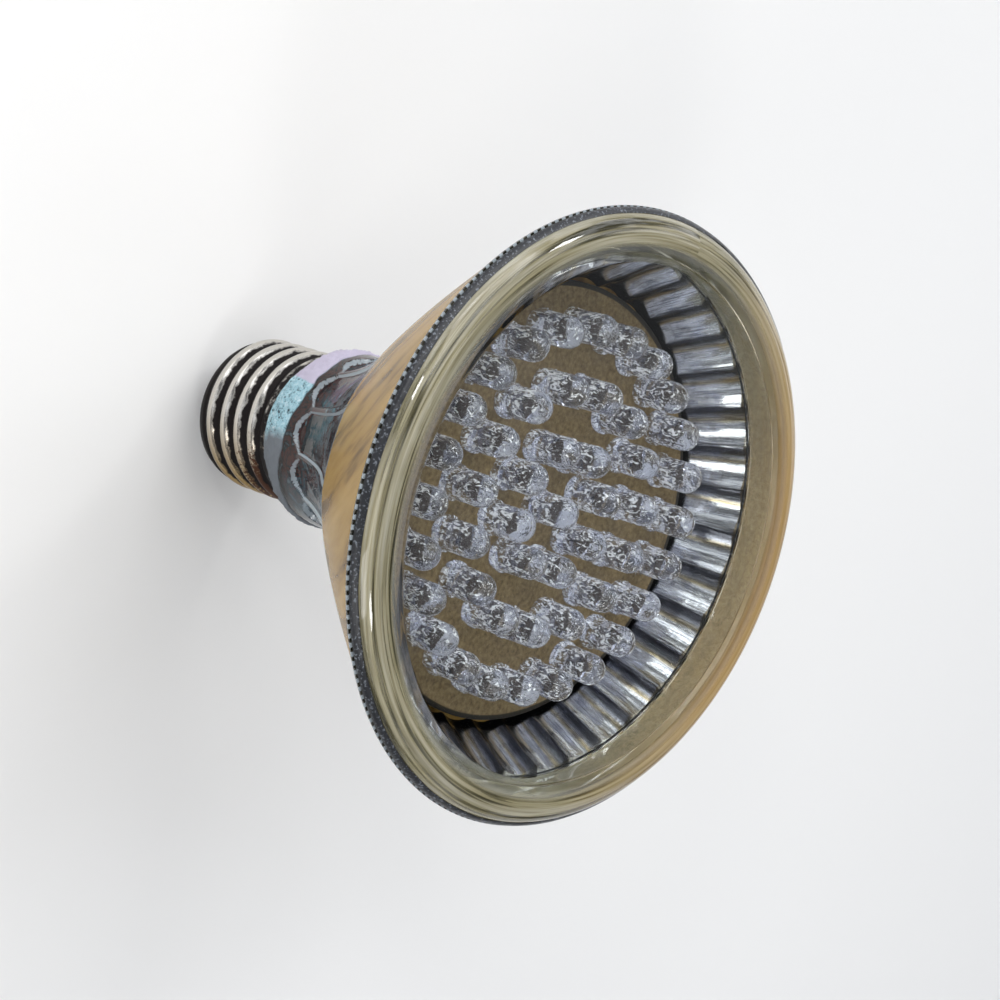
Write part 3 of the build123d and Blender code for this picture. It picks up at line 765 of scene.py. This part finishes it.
# Diodes: forty-eight 5 mm ones cast in clear epoxy round a stamped lead frame, with a flange and
# its flat at the foot. The dome magnifies the frame, which reads as a dark square. White flecks
# painted on the resin, fewer on the dome, are painted glints.
DIODE_RADIUS = 2.5
DIODE_LENGTH = 8.7
CUP_FOOT = 4.3
PASTE_FOOT = 5.07
PASTE_TOP = 5.2
PASTE_HALF = 0.85
FLANGE_RADIUS = 2.85
FLANGE_FLAT = 2.5
RING_GAP = 9.35
RING_COUNTS = (1, 8, 15, 24)
RING_PHASE = 92.1
DIODE_TILT = 2.2
DIODE_TWIST = 0.25
EPOXY = "#E6E8F4"
LEAD_FRAME = "#C2C3CC"
DIE_BROWN = "#2E2119"
GLINT_WHITE = "#F6F8FF"


def block(low, high):
    """Points and faces of a box between two corners."""
    (x0, y0, z0), (x1, y1, z1) = low, high
    corners = [(x, y, z) for x in (x0, x1) for y in (y0, y1) for z in (z0, z1)]
    return corners, [(0, 1, 3, 2), (4, 6, 7, 5), (0, 4, 5, 1), (2, 3, 7, 6), (0, 2, 6, 4),
                     (1, 5, 7, 3)]


def gather(shapes):
    """One shape from several."""
    points, faces = [], []
    for some, sides in shapes:
        faces += [tuple(i + len(points) for i in side) for side in sides]
        points += some
    return points, faces


def moved(shape, matrix):
    """The shape carried to a place."""
    return [tuple(matrix @ Vector(point)) for point in shape[0]], shape[1]


def resin_line(angle):
    """Section of one diode: flange, barrel and dome."""
    dome = DIODE_LENGTH - DIODE_RADIUS
    round_top = [(DIODE_RADIUS * math.cos(t), dome + DIODE_RADIUS * math.sin(t))
                 for t in [math.pi / 2 * i / 9 for i in range(10)]]
    return [(0, 0), (FLANGE_RADIUS - 0.1, 0), (FLANGE_RADIUS, 0.12), (FLANGE_RADIUS, 0.9),
            (FLANGE_RADIUS - 0.1, 1.0), (DIODE_RADIUS + 0.04, 1.05), (DIODE_RADIUS, 1.2),
            (DIODE_RADIUS, 3.6)] + round_top


random.seed(48)
places = []
for ring, count in enumerate(RING_COUNTS):
    for number in range(count):
        spin = math.radians(RING_PHASE + (180 + 360 * number) / count)
        lean = Matrix.Rotation(math.radians(random.uniform(-DIODE_TILT, DIODE_TILT)), 4, "Y")
        twist = Matrix.Rotation(random.uniform(-DIODE_TWIST, DIODE_TWIST), 4, "Z")
        stand = Matrix.Translation((ring * RING_GAP, 0, BOARD_TOP))
        places.append(Matrix.Rotation(spin, 4, "Z") @ stand @ lean @ twist)

resin_points, resin_faces = turned(resin_line, 28)
resin_points = [(min(x, FLANGE_FLAT), y, z) for x, y, z in resin_points]
cup_line = [(0, 0), (0.62, 0), (0.95, 0.75), (0.85, 0.75), (0.45, 0.3), (0, 0.3)]
cup = moved(turned(lambda angle: cup_line, 20), Matrix.Translation((0.35, 0, CUP_FOOT)))
lead_frame = gather([
    block((-0.35, -0.5, 2.3), (1.2, 0.5, 4.35)), cup,
    block((-1.4, -0.45, 2.6), (-0.62, 0.45, 4.9)),
    block((0.95, -0.25, 0.02), (1.4, 0.25, 2.6)), block((-1.45, -0.25, 0.02), (-1.0, 0.25, 2.9)),
])

clear_resin, tree = new_finish("epoxy, cast clear, with painted white glints")
where = add(tree, "TexCoord", {})
drawn = add(tree, "VectorMath", {"operation": "MULTIPLY", 1: (1, 1, 0.5)},
            {0: where.outputs["Object"]})
flow = add(tree, "TexNoise", {"Scale": 1 / (0.7 * MM), "Detail": 2.0},
           {"Vector": where.outputs["Object"]})
bump = add(tree, "Bump", {"Strength": 0.4, "Distance": 0.14 * MM}, {"Height": flow.outputs[0]})
body = add(tree, "BsdfPrincipled", {"Base Color": linear(EPOXY), "Transmission Weight": 0.97,
                                    "Roughness": 0.01, "IOR": 1.53}, {"Normal": bump.outputs[0]})
# Painted glints: white flecks on the resin, thinned out on the dome.
glint_noise = add(tree, "TexNoise",
            {"Scale": 1 / (0.8 * MM), "Detail": 4.0, "Roughness": 0.7, "Distortion": 1.6},
            {"Vector": drawn.outputs[0]})
axes = add(tree, "SeparateXYZ", {}, {0: where.outputs["Object"]})
dome = add(tree, "MapRange", {"From Min": 79.3 * MM, "From Max": 80.6 * MM, "To Max": -0.06},
           {"Value": axes.outputs["Z"]})
thin = add(tree, "Math", {"operation": "ADD"}, {0: glint_noise.outputs[0], 1: dome.outputs[0]})
glint_mask = add(tree, "ValToRGB", {"stops": [(0.505, (0, 0, 0, 1)), (0.58, (0.95, 0.95, 0.95, 1))]},
             {"Fac": thin.outputs[0]})
bright = add(tree, "BsdfPrincipled", {"Base Color": linear(GLINT_WHITE), "Roughness": 0.2})
glinted = add(tree, "MixShader", {},
               {0: glint_mask.outputs[0], 1: body.outputs[0], 2: bright.outputs[0]})
lit = add(tree, "BsdfTransparent", {"Color": linear(EPOXY)})
path = add(tree, "LightPath", {})
both = add(tree, "MixShader", {},
           {0: path.outputs["Is Shadow Ray"], 1: glinted.outputs[0], 2: lit.outputs[0]})
add(tree, "OutputMaterial", {}, {"Surface": both.outputs[0]})

stamped, tree = new_finish("silver-plated lead frame")
metal = add(tree, "BsdfPrincipled",
            {"Base Color": linear(LEAD_FRAME), "Metallic": 1.0, "Roughness": 0.2})
add(tree, "OutputMaterial", {}, {"Surface": metal.outputs[0]})

die, tree = new_finish("dark paste round the die")
body = add(tree, "BsdfPrincipled", {"Base Color": linear(DIE_BROWN), "Roughness": 0.6})
add(tree, "OutputMaterial", {}, {"Surface": body.outputs[0]})

diodes = [f"led_{number:02d}" for number in range(1, len(places) + 1)]
piece("diode_resin", gather([moved((resin_points, resin_faces), place) for place in places]),
      [clear_resin], diodes, sharp=45)
piece("diode_frames", gather([moved(lead_frame, place) for place in places]), [stamped],
      sharp=30)
paste = block((-PASTE_HALF, -PASTE_HALF, PASTE_FOOT), (PASTE_HALF, PASTE_HALF, PASTE_TOP))
piece("diode_paste", gather([moved(paste, place) for place in places]), [die],
      sharp=30)

# Bond: dark silicone between lens and rim, squeezed out into a band that hides the joint.
# A thin bead of it also shows inside, at the foot of the skirt of the lens.
BOND_OUTER = 47.2
BOND_TOP = 87.0
BAND_INNER = 46.65
BEAD_INNER = 40.9
BOND_DARK = "#15171C"
BOND_DUST = "#6C7178"

silicone, tree = new_finish("silicone bond, dark")
where = add(tree, "TexCoord", {})
ooze = add(tree, "TexNoise", {"Scale": 1 / (1.5 * MM), "Detail": 4.0},
           {"Vector": where.outputs["Object"]})
bump = add(tree, "Bump", {"Strength": 0.6, "Distance": 0.2 * MM}, {"Height": ooze.outputs[0]})
dust = add(tree, "TexNoise", {"Scale": 1 / (0.4 * MM), "Detail": 2.0},
           {"Vector": where.outputs["Object"]})
colour = add(tree, "ValToRGB", {"stops": [(0.56, linear(BOND_DARK)), (0.68, linear(BOND_DUST))]},
             {"Fac": dust.outputs[0]})
body = add(tree, "BsdfPrincipled", {"Roughness": 0.35},
           {"Base Color": colour.outputs[0], "Normal": bump.outputs[0]})
add(tree, "OutputMaterial", {}, {"Surface": body.outputs[0]})


def bond_line(angle):
    """Flat joint with a squeezed band outside it."""
    wobble = 0.12 * noise.noise(Vector((9 * math.cos(angle), 9 * math.sin(angle), 0)))
    return [(SEAT_RADIUS + 0.05, RIM_HEIGHT), (BOND_OUTER, RIM_HEIGHT), (BOND_OUTER + 0.15, 86.7),
            (BOND_OUTER + 0.1, BOND_TOP), (BOND_OUTER - 0.1, 87.3), (46.8 + wobble, 87.6),
            (46.6 + wobble, 87.7), (BAND_INNER, 87.5), (46.7, BOND_TOP),
            (SEAT_RADIUS + 0.05, BOND_TOP)]


piece("squeezed_bond", turned(bond_line, 300), [silicone], ["lens_bond"])
piece("bond_bead", turned(lambda angle: [
    (BEAD_INNER, SEAT_HEIGHT + 0.11), (BEAD_INNER + 0.25, SEAT_HEIGHT + 0.11),
    (BEAD_INNER + 0.2, SEAT_HEIGHT + 0.22), (BEAD_INNER + 0.05, SEAT_HEIGHT + 0.22)], 240),
      [silicone])

# Lens: pressed clear glass with a flat window, a rolled bead round it and a skirt that drops onto
# the seat. Thick glass has an olive cast, so the bead reads khaki and the window clear. On the
# far (+Y) side the bead is painted warm, standing in for the tan coat seen through it.
WINDOW_RADIUS = 39.7
CROWN_RADIUS = 43.2
LENS_TOP = 89.7
WINDOW_FRONT = 89.0
WINDOW_BACK = 86.8
BEAD_OLIVE = "#B3AB8B"
BEAD_DARK = "#4A4733"
BEAD_PALE = "#DDD8C2"
BEAD_SEEN_COAT_TAN = "#DFBE82"
WINDOW_CLEAR = "#F4F6F4"

lens_glass, tree = new_finish("soda-lime glass, pressed, olive in the thick")
where = add(tree, "TexCoord", {})
flat = add(tree, "VectorMath", {"operation": "MULTIPLY", 1: (1, 1, 0)},
           {0: where.outputs["Object"]})
radius = add(tree, "VectorMath", {"operation": "LENGTH"}, {0: flat.outputs[0]})
zone = add(tree, "MapRange", {"From Min": 40.8 * MM, "From Max": 42.6 * MM},
           {"Value": radius.outputs["Value"]})
axes = add(tree, "SeparateXYZ", {}, {0: where.outputs["Object"]})
angle = add(tree, "Math", {"operation": "ARCTAN2"}, {0: axes.outputs["Y"], 1: axes.outputs["X"]})
out = add(tree, "Math", {"operation": "MULTIPLY", 1: 1 / (0.9 * MM)}, {0: radius.outputs["Value"]})
ring = add(tree, "CombineXYZ", {}, {0: angle.outputs[0], 1: out.outputs[0]})
bands = add(tree, "TexNoise", {"Scale": 1.0, "Detail": 3.0, "Roughness": 0.65},
            {"Vector": ring.outputs[0]})
olive = add(tree, "ValToRGB", {"stops": [(0.38, linear(BEAD_DARK)), (0.5, linear(BEAD_OLIVE)),
                                         (0.66, linear(BEAD_PALE))]}, {"Fac": bands.outputs[0]})
# Towards +Y the bead is painted warm, standing in for the tan coat seen through it.
side = add(tree, "MapRange", {"From Min": 10 * MM, "From Max": 40 * MM, "To Max": 0.7},
           {"Value": axes.outputs["Y"]})
warm = add(tree, "Mix", {"data_type": "RGBA", 7: linear(BEAD_SEEN_COAT_TAN)},
           {0: side.outputs[0], 6: olive.outputs[0]})
tint = add(tree, "Mix", {"data_type": "RGBA", 6: linear(WINDOW_CLEAR)},
           {0: zone.outputs[0], 7: warm.outputs[2]})
cast = add(tree, "MapRange",
           {"From Min": 41 * MM, "From Max": 43 * MM, "To Min": 1.0, "To Max": 0.55},
           {"Value": radius.outputs["Value"]})
body = add(tree, "BsdfPrincipled", {"Roughness": 0.02, "IOR": 1.52},
           {"Base Color": tint.outputs[2], "Transmission Weight": cast.outputs[0]})
lit = add(tree, "BsdfTransparent", {}, {"Color": tint.outputs[2]})
path = add(tree, "LightPath", {})
both = add(tree, "MixShader", {},
           {0: path.outputs["Is Shadow Ray"], 1: body.outputs[0], 2: lit.outputs[0]})
add(tree, "OutputMaterial", {}, {"Surface": both.outputs[0]})


def lens_line(angle):
    """Section of the lens from the middle of its back round skirt, bead and window."""
    skirt, hollow = SEAT_RADIUS - 0.3, SEAT_RADIUS - 1.3
    return ([(0, WINDOW_BACK), (hollow - 0.8, WINDOW_BACK), (hollow - 0.6, WINDOW_BACK),
             (hollow - 0.15, WINDOW_BACK - 0.15), (hollow, WINDOW_BACK - 0.6),
             (hollow, SEAT_HEIGHT + 0.3), (hollow + 0.2, SEAT_HEIGHT + 0.12),
             (skirt - 0.1, SEAT_HEIGHT + 0.12), (skirt, SEAT_HEIGHT + 0.3),
             (skirt, BOND_TOP + 0.02), (BAND_INNER, BOND_TOP + 0.02), (BAND_INNER, 87.4)]
            + arc((46.5, 87.75), (45.1, 89.2), (CROWN_RADIUS, LENS_TOP), 12)
            + [(CROWN_RADIUS, LENS_TOP), (42.2, 89.66), (41.2, 89.5), (40.4, 89.25),
               (WINDOW_RADIUS + 0.15, 89.05), (WINDOW_RADIUS, WINDOW_FRONT),
               (WINDOW_RADIUS - 0.2, WINDOW_FRONT), (0, WINDOW_FRONT)])


piece("pressed_lens", turned(lens_line, 300), [lens_glass], ["front_lens"], sharp=28)

# Stage: a pale floor, a large soft light above and to one side, a weaker one opposite and three
# small ones that sparkle in the diodes. The world is patchy, with a dark part where the window
# would mirror it. The camera stands where the photograph was taken.
FLOOR_PALE = "#F4F3F0"
WORLD_DIM = "#94969B"
WORLD_SOFT = "#F1F4FA"
BRIGHT_SIDE = (-0.96, -0.12, 0.25)
MIRRORED_SIDE = (0.0, 0.74, 0.68)
LIGHT_AIM = (0, 0, 0.05)
FLOOR_SIZE = 8
LENS_LENGTH = 81.6
SENSOR_WIDTH = 36
CAMERA_PLACE = (0.00109, -0.25834, 0.30547)
CAMERA_RIGHT = (-0.3198, 0.6415, 0.6972)
CAMERA_UP = (-0.9475, -0.2165, -0.2353)
CAMERA_BACK = (0.0, -0.7359, 0.6771)

paper, tree = new_finish("paper backdrop, matt")
sheet = add(tree, "BsdfPrincipled",
            {"Base Color": linear(FLOOR_PALE), "Roughness": 0.9, "Specular IOR Level": 0.1})
add(tree, "OutputMaterial", {}, {"Surface": sheet.outputs[0]})
bpy.ops.mesh.primitive_plane_add(size=FLOOR_SIZE)
floor = bpy.context.object
floor.name = "floor"
floor.data.materials.append(paper)

world = bpy.data.worlds.new("studio")
bpy.context.scene.world = world
world.use_nodes = True
tree = world.node_tree
tree.nodes.clear()
where = add(tree, "TexCoord", {})
side = add(tree, "VectorMath", {"operation": "DOT_PRODUCT", 1: BRIGHT_SIDE},
           {0: where.outputs["Generated"]})
shade = add(tree, "ValToRGB", {"stops": [(0.0, linear(WORLD_DIM)), (0.8, linear(WORLD_SOFT))]},
            {"Fac": side.outputs["Value"]})
patch = add(tree, "TexNoise", {"Scale": 4.0, "Detail": 4.0, "Roughness": 0.6},
            {"Vector": where.outputs["Generated"]})
share = add(tree, "MapRange", {"From Min": 0.45, "From Max": 0.56, "To Min": 0.2, "To Max": 2.9},
            {"Value": patch.outputs[0]})
ahead = add(tree, "VectorMath", {"operation": "DOT_PRODUCT", 1: MIRRORED_SIDE},
            {0: where.outputs["Generated"]})
dark = add(tree, "MapRange", {"From Min": 0.92, "From Max": 0.97, "To Min": 1.0, "To Max": 0.12},
           {"Value": ahead.outputs["Value"]})
level = add(tree, "Math", {"operation": "MULTIPLY"}, {0: share.outputs[0], 1: dark.outputs[0]})
path = add(tree, "LightPath", {})
patchy = add(tree, "VectorMath", {"operation": "SCALE"},
             {0: shade.outputs[0], "Scale": level.outputs[0]})
sky = add(tree, "Mix", {"data_type": "RGBA", 7: linear(FLOOR_PALE)},
          {0: path.outputs["Is Camera Ray"], 6: patchy.outputs[0]})
glow = add(tree, "Background", {"Strength": 1.0}, {"Color": sky.outputs[2]})
add(tree, "OutputWorld", {}, {"Surface": glow.outputs[0]})


def softbox(name, place, size, power):
    """Square soft light at a place in metres, turned to the lamp."""
    light = bpy.data.lights.new(name, "AREA")
    light.size, light.energy = size, power
    made = bpy.data.objects.new(name, light)
    bpy.context.scene.collection.objects.link(made)
    made.location = place
    made.rotation_euler = (Vector(LIGHT_AIM) - Vector(place)).to_track_quat("-Z", "Y").to_euler()


softbox("key", (-0.62, -0.3, 0.62), 0.6, 2.6)
softbox("fill", (0.45, -0.5, 0.35), 0.25, 0.8)
softbox("sparkle left", (-0.45, 0.12, 0.45), 0.08, 0.4)
softbox("sparkle right", (0.34, -0.2, 0.5), 0.08, 0.4)
softbox("sparkle front", (-0.22, -0.5, 0.42), 0.08, 0.4)

camera = bpy.data.objects.new("camera", bpy.data.cameras.new("camera"))
bpy.context.scene.collection.objects.link(camera)
camera.data.lens = LENS_LENGTH
camera.data.sensor_width = SENSOR_WIDTH
camera.matrix_world = Matrix.Translation(CAMERA_PLACE) @ Matrix(
    (CAMERA_RIGHT, CAMERA_UP, CAMERA_BACK)).transposed().to_4x4()
bpy.context.scene.camera = camera
bpy.context.scene.view_settings.view_transform = "Standard"
